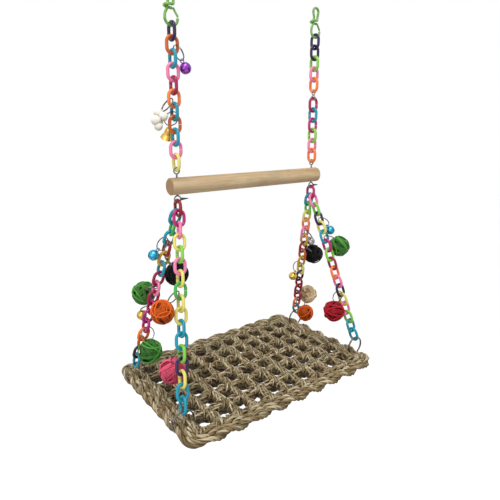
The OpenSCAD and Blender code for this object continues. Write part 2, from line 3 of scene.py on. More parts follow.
import bpy
import numpy as np
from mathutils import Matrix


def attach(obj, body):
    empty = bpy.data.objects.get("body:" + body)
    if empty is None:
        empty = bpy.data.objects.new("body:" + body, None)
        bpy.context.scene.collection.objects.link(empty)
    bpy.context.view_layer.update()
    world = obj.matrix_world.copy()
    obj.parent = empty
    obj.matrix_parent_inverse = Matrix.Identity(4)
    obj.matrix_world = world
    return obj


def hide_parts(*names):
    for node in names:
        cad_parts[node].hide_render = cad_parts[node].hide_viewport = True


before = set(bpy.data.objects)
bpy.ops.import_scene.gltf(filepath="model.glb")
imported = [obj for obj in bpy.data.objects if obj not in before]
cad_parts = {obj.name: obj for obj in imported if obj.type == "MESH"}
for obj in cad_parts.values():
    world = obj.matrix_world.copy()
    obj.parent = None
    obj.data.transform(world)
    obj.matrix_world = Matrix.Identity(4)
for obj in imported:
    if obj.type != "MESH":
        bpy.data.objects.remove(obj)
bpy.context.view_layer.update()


# Hooks
# Each hook is one green lacquered steel wire, bent to a pear-shaped eye and a narrow loop that hangs on a
# cage bar. Its end is wrapped once round the other leg at the neck, and its sprung arm closes the eye.
mm_per_m = 1000


def unit(v):
    """Each vector of an array divided by its length."""
    return v / np.linalg.norm(v, axis=-1, keepdims=True)


def along(path, side, closed):
    """The ways along, across and up of a path: t from its neighbours, b = t x side, c = b x t."""
    ahead = np.roll(path, -1, 0) - np.roll(path, 1, 0) if closed else np.gradient(path, axis=0)
    t = unit(ahead)
    b = unit(np.cross(t, np.broadcast_to(side, path.shape)))
    return t, b, np.cross(b, t)


def tube(path, side, radius, sides=10, closed=False, tone=0.5, tint=(1, 1, 1)):
    """A round section carried along a path: point = path + radius * (cos a * c + sin a * b).
    Open ends close on their own middle point. The map runs in metres along and once around."""
    path = np.asarray(path, float)
    n = len(path)
    t, b, c = along(path, side, closed)
    a = np.arange(sides) * 2 * np.pi / sides
    radius = np.broadcast_to(np.asarray(radius, float), n)[:, None, None]
    ring = path[:, None] + radius * (np.cos(a)[:, None] * c[:, None] + np.sin(a)[:, None] * b[:, None])
    points = np.vstack([ring.reshape(-1, 3), path[:1], path[-1:]])
    i, k = np.meshgrid(np.arange(n if closed else n - 1), np.arange(sides), indexing="ij")
    j, m = (i + 1) % n, (k + 1) % sides
    quads = np.stack([i * sides + k, i * sides + m, j * sides + m, j * sides + k], -1).reshape(-1, 4)
    step = np.linalg.norm(np.roll(path, -1, 0) - path, axis=1)
    run = np.concatenate([[0], np.cumsum(step)]) / mm_per_m
    u0, u1, v0, v1 = run[i], run[i + 1], k / sides, (k + 1) / sides
    quad_map = np.stack([u0, v0, u0, v1, u1, v1, u1, v0], -1).reshape(-1, 2)
    r = np.arange(sides)
    if closed:
        points, tris = points[:-2], np.zeros((0, 3), int)
    else:
        start = np.stack([r * 0 + n * sides, (r + 1) % sides, r], -1)
        end = np.stack([r * 0 + n * sides + 1, (n - 1) * sides + r, (n - 1) * sides + (r + 1) % sides], -1)
        tris = np.vstack([start, end])
    tri_map = np.zeros((len(tris) * 3, 2)) + [run[0], 0.5]
    return dict(points=points, quads=quads, tris=tris, quad_map=quad_map, tri_map=tri_map,
                tone=np.full(len(points), tone), tint=np.tile(tint, (len(points), 1)))


def piece(name, parts, body, look, nodes=(), slot=None):
    """Joins parts, given in millimetres, to one smooth mesh in metres that rides on a body."""
    starts = np.cumsum([0] + [len(p["points"]) for p in parts])
    quads = np.vstack([p["quads"] + s for p, s in zip(parts, starts)])
    tris = np.vstack([p["tris"] + s for p, s in zip(parts, starts)])
    mesh = bpy.data.meshes.new(name)
    points = np.vstack([p["points"] for p in parts]) / mm_per_m
    mesh.from_pydata(points.tolist(), [], quads.tolist() + tris.tolist())
    uv = np.vstack([p["quad_map"] for p in parts] + [p["tri_map"] for p in parts])
    mesh.uv_layers.new(name="run").data.foreach_set("uv", uv.ravel())
    tone = mesh.attributes.new("tone", "FLOAT", "POINT")
    tone.data.foreach_set("value", np.concatenate([p["tone"] for p in parts]))
    tint = mesh.attributes.new("tint", "FLOAT_COLOR", "POINT")
    rgb = np.vstack([p["tint"] for p in parts])
    tint.data.foreach_set("color", np.hstack([rgb, np.ones((len(rgb), 1))]).ravel())
    mesh.polygons.foreach_set("use_smooth", np.ones(len(mesh.polygons), bool))
    mesh.materials.append(look.material)
    made = bpy.data.objects.new(name, mesh)
    bpy.context.collection.objects.link(made)
    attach(made, body)
    if nodes:
        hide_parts(*nodes)
    return made


def paint(r, g, b):
    """A colour as the eye reads it, 0 to 255, turned to linear light by the standard screen curve."""
    v = np.array([r, g, b]) / 255
    return tuple(np.where(v < 0.04045, v / 12.92, ((v + 0.055) / 1.055) ** 2.4))


class Value:
    """One output of a look's nodes. Sums, products and powers of values add Math nodes."""

    def __init__(self, look, out):
        self.look, self.out = look, out

    def math(self, operation, other):
        return self.look.node("ShaderNodeMath", {"operation": operation}, {0: self, 1: other})

    def __add__(self, other):
        return self.math("ADD", other)

    def __mul__(self, other):
        return self.math("MULTIPLY", other)

    def __pow__(self, other):
        return self.math("POWER", other)

    __radd__, __rmul__ = __add__, __mul__

    def size(self):
        """The value without its sign."""
        return self.math("ABSOLUTE", 0.0)

    def between(self, low, high):
        """0 at low and under, 1 at high and over."""
        return self.look.node("ShaderNodeMapRange", {"clamp": True}, {0: self, 1: low, 2: high})


class Look:
    """A finish: one Principled surface with set values, and the method that adds its nodes."""

    def __init__(self, name, **settings):
        self.material = bpy.data.materials.new(name)
        self.material.use_nodes = True
        self.tree = self.material.node_tree
        self.surface = self.tree.nodes["Principled BSDF"]
        for key, value in settings.items():
            self.surface.inputs[key.replace("_", " ")].default_value = value

    def node(self, kind, settings, inputs, out=0):
        """Adds any node: its settings first, then the values or links of its sockets. Gives output out."""
        made = self.tree.nodes.new(kind)
        for key, value in settings.items():
            setattr(made, key, value)
        for key, value in inputs.items():
            self.feed(made.inputs[key], value)
        return Value(self, made.outputs[out])

    def feed(self, socket, value):
        if isinstance(value, Value):
            self.tree.links.new(value.out, socket)
        elif hasattr(value, "__len__") and len(value) == 3 and socket.type == "RGBA":
            socket.default_value = (*value, 1)
        else:
            socket.default_value = value

    def set(self, name, value):
        self.feed(self.surface.inputs[name], value)

    def place(self):
        """Object coordinates, in metres."""
        return self.node("ShaderNodeTexCoord", {}, {}, 3)

    def attribute(self, name, out=2):
        """An attribute of the mesh, or its map: a colour from output 0, a vector from 1, a number from 2."""
        return self.node("ShaderNodeAttribute", {"attribute_name": name}, {}, out)

    def stretched(self, where, scale):
        """Coordinates multiplied by a vector, so that a pattern is drawn out along one way."""
        return self.node("ShaderNodeVectorMath", {"operation": "MULTIPLY"}, {0: where, 1: scale})

    def noise(self, where, scale, detail=3.0, rough=0.55):
        return self.node("ShaderNodeTexNoise", {}, {"Vector": where, "Scale": scale, "Detail": detail,
                                                    "Roughness": rough})

    def mix(self, share, a, b, blend="MIX"):
        settings = {"data_type": "RGBA", "blend_type": blend}
        return self.node("ShaderNodeMix", settings, {0: share, 6: a, 7: b}, 2)

    def bump(self, height, depth):
        self.set("Normal", self.node("ShaderNodeBump", {}, {"Height": height, "Distance": depth}))


def lacquer(name, deep, pale, rough=0.32):
    """Thick glossy lacquer on wire: darker where it is thick, paler on a few rubbed places."""
    look = Look(name, Metallic=0.0, Coat_Weight=0.5, Coat_Roughness=0.15)
    patches = look.noise(look.place(), 260.0)
    look.set("Base Color", look.mix(patches.between(0.35, 0.7), deep, pale))
    look.set("Roughness", rough + 0.2 * look.noise(look.place(), 900.0))
    look.bump(look.noise(look.place(), 700.0), 0.0002)
    return look


# All sizes are in millimetres, from the middle of the line between the hooks' seats. The chains hang at
# hole_x on either side, and eye_wire_z is the height of the wire in each hook's eye.
perch_z = -171.75
hole_x = 87.0
eye_wire_z = {-1: -33.5, 1: -23.6}
hook_wire, hook_eye_w, hook_head_w, hook_len, gate_gap = 2.3, 14.5, 9.8, 32.0, 0.3
hook_r = hook_wire / 2
eye_r, head_r = (hook_eye_w - hook_wire) / 2, (hook_head_w - hook_wire) / 2
neck_z, head_z = eye_r * 2.55, hook_len - hook_wire - head_r
neck_half, leg_z = hook_wire * 1.13, neck_z + hook_wire * 2.2
leg_x, wrap_r, gate_r = neck_half * 1.3, hook_wire * 1.16, hook_wire * 0.42
gate_seat = (eye_r * 0.38 - gate_r - gate_gap, neck_z - hook_wire * 0.72)
hook_points, hook_sides, lacquer_skin, tip_taper = 170, 14, 0.12, [0.5, 0.85]
wrap_from, wrap_ease = 0.77, 0.06


def arc(cx, cz, r, a0, a1, steps):
    """Points on a circle in X and Z between two angles."""
    a = np.radians(np.linspace(a0, a1, steps))
    return np.stack([cx + r * np.cos(a), 0 * a, cz + r * np.sin(a)], -1)


def smooth(points, count, closed=False):
    """A path eased through points: cubic (Catmull-Rom) pieces, then spaced evenly by length."""
    p = np.asarray(points, float)
    p = np.vstack([p[-1:], p, p[:2]]) if closed else np.vstack([2 * p[0] - p[1], p, 2 * p[-1] - p[-2]])
    s = np.linspace(0, 1, 12, endpoint=False)[:, None]
    bits = [0.5 * (2 * b + (c - a) * s + (2 * a - 5 * b + 4 * c - d) * s**2 + (3 * b - 3 * c + d - a) * s**3)
            for a, b, c, d in zip(p[:-3], p[1:-2], p[2:-1], p[3:])]
    q = np.vstack(bits + ([] if closed else [p[-2:-1]]))
    if closed:
        q = np.vstack([q, q[:1]])
    run = np.concatenate([[0], np.cumsum(np.linalg.norm(np.diff(q, axis=0), axis=1))])
    at = np.linspace(0, run[-1], count, endpoint=not closed)
    return np.stack([np.interp(at, run, q[:, k]) for k in range(3)], -1)


# The wire's way: up the back of the eye, round the loop, down the front and round its own neck.
turn = np.linspace(0, 1, 9)
wrap_angle = np.radians(-75 - 210 * turn)
wound = np.stack([wrap_r * np.cos(wrap_angle) - leg_x, wrap_r * np.sin(wrap_angle),
                  neck_z + hook_wire * (0.42 - 0.55 * turn)], -1)
leg_middle = (head_r + neck_half) * 0.52, (head_z + leg_z) / 2
hook_route = np.vstack([
    [[eye_r, 0, eye_r + hook_r * 0.75]], arc(0, eye_r, eye_r, 0, -180, 17),
    [[-eye_r * 0.92, 0, eye_r * 1.6],
     [-leg_x * 1.12, 0, neck_z - hook_wire],
     [-leg_x * 0.98, 0, neck_z + hook_wire * 0.3],
     [-neck_half, 0, leg_z],
     [-leg_middle[0], 0, leg_middle[1]]],
    arc(0, head_z, head_r, 180, 0, 13),
    [[leg_middle[0], 0, leg_middle[1]],
     [neck_half, 0, leg_z],
     [neck_half, 0, neck_z + hook_wire * 1.3],
     [neck_half * 0.72, -wrap_r * 0.25, neck_z + hook_wire * 0.8],
     [0, -wrap_r * 0.72, neck_z + hook_wire * 0.52]],
    wound,
    [[-neck_half * 0.45, wrap_r * 0.62, neck_z - hook_wire * 0.4],
     [0, wrap_r * 0.16, neck_z - hook_wire * 0.64],
     [gate_seat[0], 0, gate_seat[1]]]])
hook_green = lacquer("hook lacquer", paint(70, 130, 35), paint(130, 190, 80))
gate_green = lacquer("gate lacquer", paint(80, 135, 50), paint(150, 200, 110))
route = smooth(hook_route, hook_points)
thick = np.full(hook_points, hook_r + lacquer_skin)
thick[:2] *= tip_taper
lean = np.clip((np.linspace(0, 1, hook_points) - wrap_from) / wrap_ease, 0, 1)[:, None] * np.pi / 2
edge = np.cos(lean) * [0, 1, 0] + np.sin(lean) * [0, 0, 1]
for side, hand in ((-1, "left"), (1, "right")):
    placed = route + [side * hole_x, 0, eye_wire_z[side]]
    piece(hand + "_hook_wire", [tube(placed, edge, thick, hook_sides)], "hooks", hook_green,
          [hand + "_hook"], "hook_paint")
    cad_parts[hand + "_hook_gate"].material_slots[0].material = gate_green.material


# Plastic links
# Every link is a moulded C of glossy plastic rod, clipped open at one side to thread the next. Each one has
# its own colour, and the chains hang from the hooks, over the perch and from there to the mat.
link_len, link_w, link_wire, link_slit, play = 17.7, 13.5, 3.1, 0.4, 0.3
link_r, link_span = (link_w - link_wire) / 2, link_len - link_wire
link_pitch, half_run = link_len - 2 * link_wire - play, (link_len - link_w) / 2
# The lips spring nearly shut, so the slit is drawn narrower than its width when clipped open.
link_lip, lip_run, lip_taper = link_slit * 0.3, 0.25, 0.97
upper_links, side_links, links_above_connector = 11, 16, 5

# Each letter stands for one colour in the chains' rows below, from the top link down.
shades = {
    "p": paint(32, 2, 60), "b": paint(186, 84, 24), "t": paint(0, 132, 156), "k": paint(226, 116, 160),
    "c": paint(146, 6, 62), "o": paint(232, 112, 34), "g": paint(118, 186, 58), "y": paint(216, 204, 100),
    "m": paint(170, 14, 98), "r": paint(134, 14, 24), "s": paint(232, 120, 84), "n": paint(56, 160, 62),
    "d": paint(30, 14, 40), "v": paint(150, 26, 112), "a": paint(186, 148, 40),
}


def link(at, lateral, down, shade, rng):
    """A rod carried round two half circles (link_r * cos q, half_run + link_r * sin q) and two straight runs,
    from one lip of the slit to the other."""
    q = np.linspace(0, np.pi, 15)
    x = np.concatenate([[link_r, link_r, link_r], link_r * np.cos(q), -link_r * np.cos(q), [link_r, link_r]])
    z = np.concatenate([[link_lip, link_lip + lip_run, half_run * 0.6], half_run + link_r * np.sin(q),
                        -half_run - link_r * np.sin(q), [-link_lip - lip_run, -link_lip]])
    path = at + x[:, None] * lateral - z[:, None] * down
    radius = np.full(len(path), link_wire / 2)
    radius[[0, -1]] *= lip_taper
    return tube(path, np.cross(down, lateral), radius, 12, tone=rng.random(), tint=shades[shade])


def hanging(side, z, even):
    """Place and ways of an upright link: even ones lie across, odd ones lie front to back."""
    lateral = np.array([1.0, 0, 0]) if even else np.array([0, 1.0, 0])
    return np.array([side * hole_x, 0, z]), lateral, np.array([0, 0, -1.0])


connector_drop = 6.5
hook_to_link = hook_r + play + link_wire / 2


def left_link(i):
    """Link i of the left upper chain, one pitch under the link before it."""
    return hanging(-1, eye_wire_z[-1] + hook_to_link - link_span / 2 - (i - 1) * link_pitch, i % 2 == 0)


def right_link(i):
    """Link i of the right upper chain. Those under the connector hang lower by its length."""
    z = eye_wire_z[1] + hook_to_link - link_span / 2 - (i - 1) * link_pitch
    if i > links_above_connector:
        z = z + link_pitch - link_span - connector_drop
    return hanging(1, z, i % 2 == 0)


ring_x, ring_y, start_y, start_z, pass_turn = 117.0, 52.0, 1.8, -194.2, 15.0
side_run = (side_links - 1) * link_pitch + link_span
side_dx, side_dy = ring_x - hole_x, ring_y - start_y
side_dz = math.sqrt(side_run**2 - side_dx**2 - side_dy**2)


def side_link(sx, sy, i):
    """Place and ways of link i of the chain from the perch to one ring of the mat. Every other link is
    turned by a quarter, and the second one a little less, so that front and back chains pass each other."""
    down = np.array([sx * side_dx, sy * side_dy, -side_dz]) / side_run
    across = unit(np.array([1.0, 0, 0]) - down[0] * down)
    away = np.cross(down, across)
    away = -away if away[1] < 0 else away
    turn = math.radians((90 if i % 2 == 0 else 0) - (pass_turn if i == 2 else 0))
    lateral = across * math.cos(turn) + away * math.sin(turn)
    middle = np.array([sx * hole_x, sy * start_y, start_z]) + down * ((i - 1) * link_pitch + link_span / 2)
    return middle, lateral, down


def side_chain(sx, sy):
    """All the links of the chain to one ring of the mat, from the top."""
    return [side_link(sx, sy, i) for i in range(1, side_links + 1)]


def shared_link(side):
    """The link in the perch wire's lower loop, which carries a front and a back chain."""
    return hanging(side, start_z - link_r + link_span / 2, False)


plastic = Look("link plastic", Coat_Weight=0.34, Coat_Roughness=0.1, IOR=1.46, Specular_IOR_Level=0.3)
clouds = plastic.noise(plastic.place(), 180.0)
own = plastic.mix(clouds.between(0.3, 0.75), plastic.attribute("tint", 0), (1, 1, 1), "MULTIPLY")
lit = plastic.mix(0.16 * plastic.attribute("tone") + 0.12 * clouds, own, paint(250, 250, 245), "SOFT_LIGHT")
plastic.set("Base Color", lit)
plastic.set("Roughness", 0.24 + 0.16 * plastic.noise(plastic.place(), 1200.0))
plastic.bump(plastic.noise(plastic.place(), 420.0), 0.0002)

chance = np.random.default_rng(7)
below_first = range(2, upper_links + 1)
chains = [
    ("left_first_link", "left_first_link", [left_link(1)], "p"),
    ("left_upper_chain", "left_upper_chain", [left_link(i) for i in below_first], "btkcotbtky"),
    ("right_first_link", "right_first_link", [right_link(1)], "p"),
    ("right_upper_chain", "right_upper_chain", [right_link(i) for i in below_first], "pgkoctmgko"),
    ("left_shared_link", "left_shared_link", [shared_link(-1)], "r"),
    ("right_shared_link", "right_shared_link", [shared_link(1)], "m"),
    ("left_front_chain", "left_side", side_chain(-1, -1), "mkygkynyyttgpytt"),
    ("left_back_chain", "left_side", side_chain(-1, 1), "tntratckcmvmobdt"),
    ("right_front_chain", "right_side", side_chain(1, -1), "kgpytmgcokdykgtt"),
    ("right_back_chain", "right_side", side_chain(1, 1), "tgyskarbayprrcot"),
]
for node, body, places, colours in chains:
    links = [link(*place, shade, chance) for place, shade in zip(places, colours)]
    piece(node + "_links", links, body, plastic, [node], node + "_plastic")


# Steel connector
# A short bright wire with an eye at each end, a quarter turn apart, its tails wrapped round its neck.
# It joins the fifth and sixth links of the right chain.
def bright_wire(name, dark, light, rough):
    """Drawn steel wire: fine scratches along it and a few duller patches."""
    look = Look(name, Metallic=1.0)
    dull = look.noise(look.place(), 300.0)
    look.set("Base Color", look.mix(dull.between(0.3, 0.75), dark, light))
    drawn = look.stretched(look.attribute("run", 1), (300.0, 9.0, 1.0))
    look.set("Roughness", rough + 0.25 * look.noise(drawn, 6.0))
    look.bump(look.noise(look.place(), 2200.0), 0.0001)
    return look


connector_wire, connector_r, connector_gap, connector_seat = 1.2, 2.7, 6.0, 2.45
coil_r, coil_wire_r, coil_len, coil_turns = 0.75, 0.42, 1.5, 2
connector_z = right_link(links_above_connector)[0][2] - link_span / 2 + connector_seat - connector_r
steel = bright_wire("connector steel", paint(120, 118, 112), paint(205, 205, 202), 0.22)
middle = np.array([hole_x, 0, connector_z - connector_gap / 2])


def wire_eye(centre, r, turn, lead=0.35):
    """A circle of wire whose ends run on to its neck: points r * (sin a, cos a) from the neck round."""
    a = np.linspace(lead, 2 * np.pi - lead, 30)
    flat = np.stack([np.sin(a) * r, 0 * a, -np.cos(a) * r], -1)
    c, s = math.cos(turn), math.sin(turn)
    return centre + flat @ np.array([[c, s, 0], [-s, c, 0], [0, 0, 1]])


upper_eye = wire_eye(np.array([hole_x, 0, connector_z]), connector_r, 0.0)
lower_eye = wire_eye(np.array([0, 0, 0]), connector_r, math.pi / 2) * [1, 1, -1]
lower_eye = lower_eye + [hole_x, 0, connector_z - connector_gap]
wrap = np.linspace(0, 1, 40)
angle = wrap * coil_turns * 2 * np.pi
wrapped = middle + np.stack([coil_r * np.cos(angle), coil_r * np.sin(angle), coil_len * (wrap - 0.5)], -1)
piece("chain_connector_wire", [
    tube(upper_eye, (0, 1, 0), connector_wire / 2, 10, tone=0.4),
    tube(lower_eye, (1, 0, 0), connector_wire / 2, 10, tone=0.6),
    tube(wrapped, (0, 0, 1), coil_wire_r, 8, tone=0.8),
], "right_upper_chain", steel, ["chain_connector"], "steel")


# Perch
# The perch is a bare hardwood dowel, turned smooth, with its ends lightly chamfered and drilled through.
# It keeps its modelled shape. The grain runs along it, and its sawn ends are darker.
wood = Look("perch wood", Coat_Weight=0.08, Coat_Roughness=0.4)
spot = wood.place()
streaks = wood.noise(wood.stretched(spot, (9.0, 190.0, 190.0)), 1.0, 5.0, 0.6)
pores = wood.noise(wood.stretched(spot, (70.0, 1500.0, 1500.0)), 1.0, 2.0)
waves = wood.noise(wood.stretched(spot, (4.0, 45.0, 45.0)), 1.0, 2.0)
lengthways, across, upward = (wood.node("ShaderNodeSeparateXYZ", {}, {0: spot}, out) for out in range(3))
from_core = (across**2.0 + (upward + -perch_z / mm_per_m) ** 2.0) ** 0.5
rings = wood.node("ShaderNodeMath", {"operation": "SINE"}, {0: from_core * 5200.0 + 9.0 * waves})
sawn_from, sawn_to = 0.0938, 0.0946
end_cut = lengthways.size().between(sawn_from, sawn_to)
flank = wood.mix(streaks.between(0.33, 0.68), paint(202, 178, 138), paint(160, 128, 90))
flank = wood.mix(0.5 * pores.between(0.52, 0.72), flank, paint(132, 98, 64))
flank = wood.mix(0.3 * waves.between(0.45, 0.62), flank, paint(212, 192, 156))
smudges = wood.noise(wood.stretched(spot, (14.0, 40.0, 40.0)), 1.0, 3.0)
flank = wood.mix(0.4 * smudges.between(0.54, 0.72), flank, paint(126, 104, 80))
sawn = wood.mix(rings.between(-0.6, 0.9), paint(136, 104, 72), paint(168, 136, 100))
wood.set("Base Color", wood.mix(end_cut, flank, sawn))
wood.set("Roughness", 0.5 + 0.2 * pores + 0.15 * end_cut)
wood.bump(streaks * 0.6 + pores * 0.5, 0.0004)
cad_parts["perch_dowel"].material_slots[0].material = wood.material


# Perch wires
# A steel wire is doubled and twisted through each hole. It makes a small eye over the dowel for the chain
# above, and a loop under it for the chains below, and its cut end wears a dark green sleeve.
perch_r, low_eye_r, top_eye_r, eye_wire = 8.0, 3.3, 2.9, 1.4
top_room, low_room, eye_lead = 2.7, 0.3, 0.2
top_eye_z = perch_r + top_room + eye_wire / 2 + top_eye_r
low_eye_z = -(perch_r + low_room + eye_wire / 2 + low_eye_r)
twist_r, twist_wire_r, twist_turns, twist_lap = 0.48, 0.5, 7, 0.3
dull_steel = bright_wire("perch wire steel", paint(92, 90, 84), paint(176, 174, 168), 0.3)
sleeve = Look("wire end sleeve", Coat_Weight=0.2)
sleeve.set("Base Color", sleeve.mix(sleeve.noise(sleeve.place(), 500.0).between(0.3, 0.7),
                                   paint(10, 52, 44), paint(24, 84, 66)))
sleeve.set("Roughness", 0.4 + 0.2 * sleeve.noise(sleeve.place(), 1500.0))
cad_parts["wire_tips"].material_slots[0].material = sleeve.material
for side, hand in ((-1, "left"), (1, "right")):
    core = np.array([side * hole_x, 0, perch_z])
    top = wire_eye(core + [0, 0, top_eye_z], top_eye_r, 0.0, eye_lead)
    low = wire_eye(np.zeros(3), low_eye_r, 0.0, eye_lead) * [1, 1, -1] + core + [0, 0, low_eye_z]
    s = np.linspace(0, 1, 90)
    z0, z1 = low_eye_z + low_eye_r - twist_lap, top_eye_z - top_eye_r + twist_lap
    twist = 2 * np.pi * twist_turns * s
    bent = [tube(eye, (0, 1, 0), eye_wire / 2, 10) for eye in (top, low)]
    for start in (0, np.pi):
        strand_x, strand_y = twist_r * np.cos(twist + start), twist_r * np.sin(twist + start)
        path = np.stack([strand_x, strand_y, z0 + (z1 - z0) * s], -1) + core
        bent.append(tube(path, (1, 0, 0), twist_wire_r, 8, tone=0.7))
    piece(hand + "_eye_wire_bent", bent, "perch", dull_steel, [hand + "_eye_wire"], "dark_wire")


# Mat border
# The edge of the mat is a thick flat plait of three cords of dry grass, worked all round as one ring and
# turned at the corners. Each cord is a loose bundle of twisted stems with finer fibres over them.
mat_len, mat_w, border_w, mat_shift = 247.0, 168.0, 18.0, 4.0
mat_z = -382.03
grass = Look("dry grass")
strands_run = grass.stretched(grass.attribute("run", 1), (90.0, 9.0, 1.0))
fibre = grass.noise(strands_run, 3.0, 4.0, 0.65)
blotch = grass.noise(grass.place(), 70.0, 2.0)
shown = grass.attribute("tone")
# The tone runs from painted shade, near black in hollows, cord cores and undersides, through the straw's own
# colour to painted light on the stems' tops. The straw of each stem also differs at random.
straw_and_shade = grass.mix(shown.between(0.03, 0.42), paint(38, 26, 10), paint(136, 112, 70))
straw_and_shade = grass.mix(shown.between(0.4, 0.95), straw_and_shade, paint(238, 224, 188))
straw_and_shade = grass.mix(0.38 * fibre.between(0.45, 0.75), straw_and_shade, paint(98, 78, 46))
straw_and_shade = grass.mix(0.3 * blotch.between(0.45, 0.7), straw_and_shade, paint(150, 146, 112))
grass.set("Base Color", straw_and_shade)
grass.set("Roughness", 0.5 + 0.25 * fibre)
grass.bump(fibre, 0.0009)


def frame_line(count, corner_r):
    """The middle line of the border: four straight runs joined by quarter circles, as points and ways out."""
    hx, hy = (mat_len - border_w) / 2 - corner_r, (mat_w - border_w) / 2 - corner_r
    q = np.linspace(0, np.pi / 2, 13)
    corners = [(hx, -hy, -np.pi / 2), (hx, hy, 0.0), (-hx, hy, np.pi / 2), (-hx, -hy, np.pi)]
    angle = np.concatenate([a + q for _, _, a in corners] + [[1.5 * np.pi]])
    x = np.concatenate([cx + corner_r * np.cos(a + q) for cx, _, a in corners])
    y = np.concatenate([cy + corner_r * np.sin(a + q) for _, cy, a in corners])
    x, y = np.append(x, x[0]), np.append(y, y[0])
    length = np.concatenate([[0], np.cumsum(np.hypot(np.diff(x), np.diff(y)))])
    at = np.linspace(0, length[-1], count, endpoint=False)
    a = np.interp(at, length, angle)
    middle = np.stack([np.interp(at, length, x) - mat_shift, np.interp(at, length, y), at * 0 + mat_z], -1)
    return middle, np.stack([np.cos(a), np.sin(a), 0 * a], -1), at / length[-1]


def stems(path, side, radius, count, turns, rng, closed=False, sides=5, spread=0.5, thick=None):
    """Stems twisted into a cord: each follows path + spread * radius * (cos w * c + sin w * b), where w grows
    by the cord's turns, and swells and thins a little. Their tone falls off towards the cord's middle and
    under each stem, where the light doesn't reach."""
    t, b, c = along(path, side, closed)
    s = np.linspace(0, 1, len(path), endpoint=not closed)[:, None]
    made = []
    for k in range(count):
        w = 2 * np.pi * (turns * s + k / count) + 0.5 * rng.random()
        line = path + spread * radius * (np.cos(w) * c + np.sin(w) * b)
        waves = rng.integers(2, 4) if len(path) < 60 else rng.integers(30, 60)
        swell = 1 + 0.14 * np.sin(2 * np.pi * (waves * s[:, 0] + rng.random()))
        width = (thick or radius * (1.04 - spread)) * swell * (0.85 + 0.3 * rng.random())
        stem = tube(line, side, width, sides, closed)
        rim = stem["points"][:len(path) * sides].reshape(len(path), sides, 3)
        out = np.linalg.norm(rim - path[:, None], axis=-1) / radius
        top = (rim[..., 2] - line[:, None, 2]) / width[:, None]
        # Painted shade: the tone falls towards the cord's core and towards each stem's underside, and is
        # fullest on its top as painted light. The straw is each stem's own colour, at random.
        straw, core_shade = 0.42 + 0.58 * rng.random(), 0.15 + 0.85 * np.clip((out - 0.3) / 0.5, 0, 1)
        stem["tone"][:len(path) * sides] = (straw * core_shade * (0.62 + 0.38 * top)).ravel()
        made.append(stem)
    return made


# The painted depth shade: the height under which the underside is lit again, over what rise, its tone there,
# and the darkest painted shade.
underside, underside_ease, underside_tone, darkest = -7.8, 1.2, 0.8, 0.1


def shade_by_depth(parts, low, high):
    """Paints shade into each point's tone by its height over the middle of the mat: full tone at high, the
    darkest painted shade at low, where shade falls deep in the plait and field. The last of the underside,
    seen only from below, is lit again."""
    for part in parts:
        height = part["points"][:, 2] - mat_z
        under = np.clip((underside - height) / underside_ease, 0, underside_tone)
        part["tone"] = part["tone"] * np.maximum(np.clip((height - low) / (high - low), darkest, 1), under)
    return parts


plait_waves, plait_side, plait_rise, cord_r, cord_apart = 10, 3.7, 2.4, 2.3, 2.5
stem_count, stem_turns, fibre_turns, fibre_spread, fibre_r = 3, 40, 14, 0.98, 0.38
up = np.array([0, 0, 1])
middle, outward, share = frame_line(560, 10.0)
grow = np.random.default_rng(11)
plait = []
for k in range(3):
    w = 2 * np.pi * (plait_waves * share + k / 3)[:, None]
    uneven = 1 + 0.1 * np.sin(2 * np.pi * (9 * share + k / 3))[:, None]
    path = middle + outward * plait_side * np.sin(w) * uneven + up * plait_rise * np.sin(2 * w)
    beside = along(path, up, True)[1]
    for way in (-1, 1):
        loose = 0.5 * np.sin(2 * np.pi * ((22 + 3 * k + way) * share + grow.random()))[:, None]
        cord = path + way * cord_apart * beside + up * loose
        plait += stems(cord, up, cord_r, stem_count, stem_turns + 3 * k + way, grow, True)
        plait += stems(cord, up, cord_r, 1, fibre_turns - 3 * k + way, grow, True, 4, fibre_spread, fibre_r)
# The plait's tone gets painted shade, darker downward.
piece("mat_border_plait", shade_by_depth(plait, -8.8, 3.0), "mat", grass, ["mat_border"], "grass_border")


# Mat field
# The field is knotted from the same grass in a square grid. Bands of wavy cords run along it, cords fan
# from band to band at every knot and are hitched over both, and the gaps between them stay open.
rows, cols = 6, 10
inner_len, inner_w = mat_len - 2 * border_w, mat_w - 2 * border_w
row_y, col_x = inner_w / rows, inner_len / cols
band_r, band_apart, band_sway, band_lift, band_rise = 2.0, 2.6, 1.3, 0.8, 1.1
strap_r, wall_r, fan, knot_rise = 1.8, 2.3, 3.0, 3.0
# The cords under each band: how far down, how thick, and how many turns.
under_bands = ((4.0, 2.3, 9), (7.4, 2.2, 8))
# The hitches at a knot, between the knots and over the straps: their reach, drop and thickness.
knot_hitch, loose_hitch, strap_hitch = (5.0, 3.4, 1.6), (4.8, 3.4, 1.3), (4.6, 3.2, 1.35)
knot = np.random.default_rng(23)
bands, straps, hitches, walls = [], [], [], []


def strand(a, b, radius, count, turns, lift=0.0, bow=0.0):
    """A short cord from a to b: a + (b - a) * s, bowed aside and lifted by sin(pi * s)."""
    s = np.linspace(0, 1, 9)[:, None]
    aside = unit(np.cross(b - a, up))
    path = a + (b - a) * s + np.sin(np.pi * s) * (bow * aside + np.array([0, 0, lift]))
    return stems(path, (0.02, 0, 1), radius, count, turns, knot)


def hitch(at, size, across, slant):
    """A cord bent over a band or a strap:
    at + reach * sin q * across - drop * (1 - cos q) * up + slant * q."""
    reach, drop, radius = size
    q = np.linspace(-1.75, 1.75, 11)[:, None]
    path = at + reach * np.sin(q) * across - drop * (1 - np.cos(q)) * up + q * slant
    return stems(path, np.cross(across, up), radius, 2, 0.7, knot)


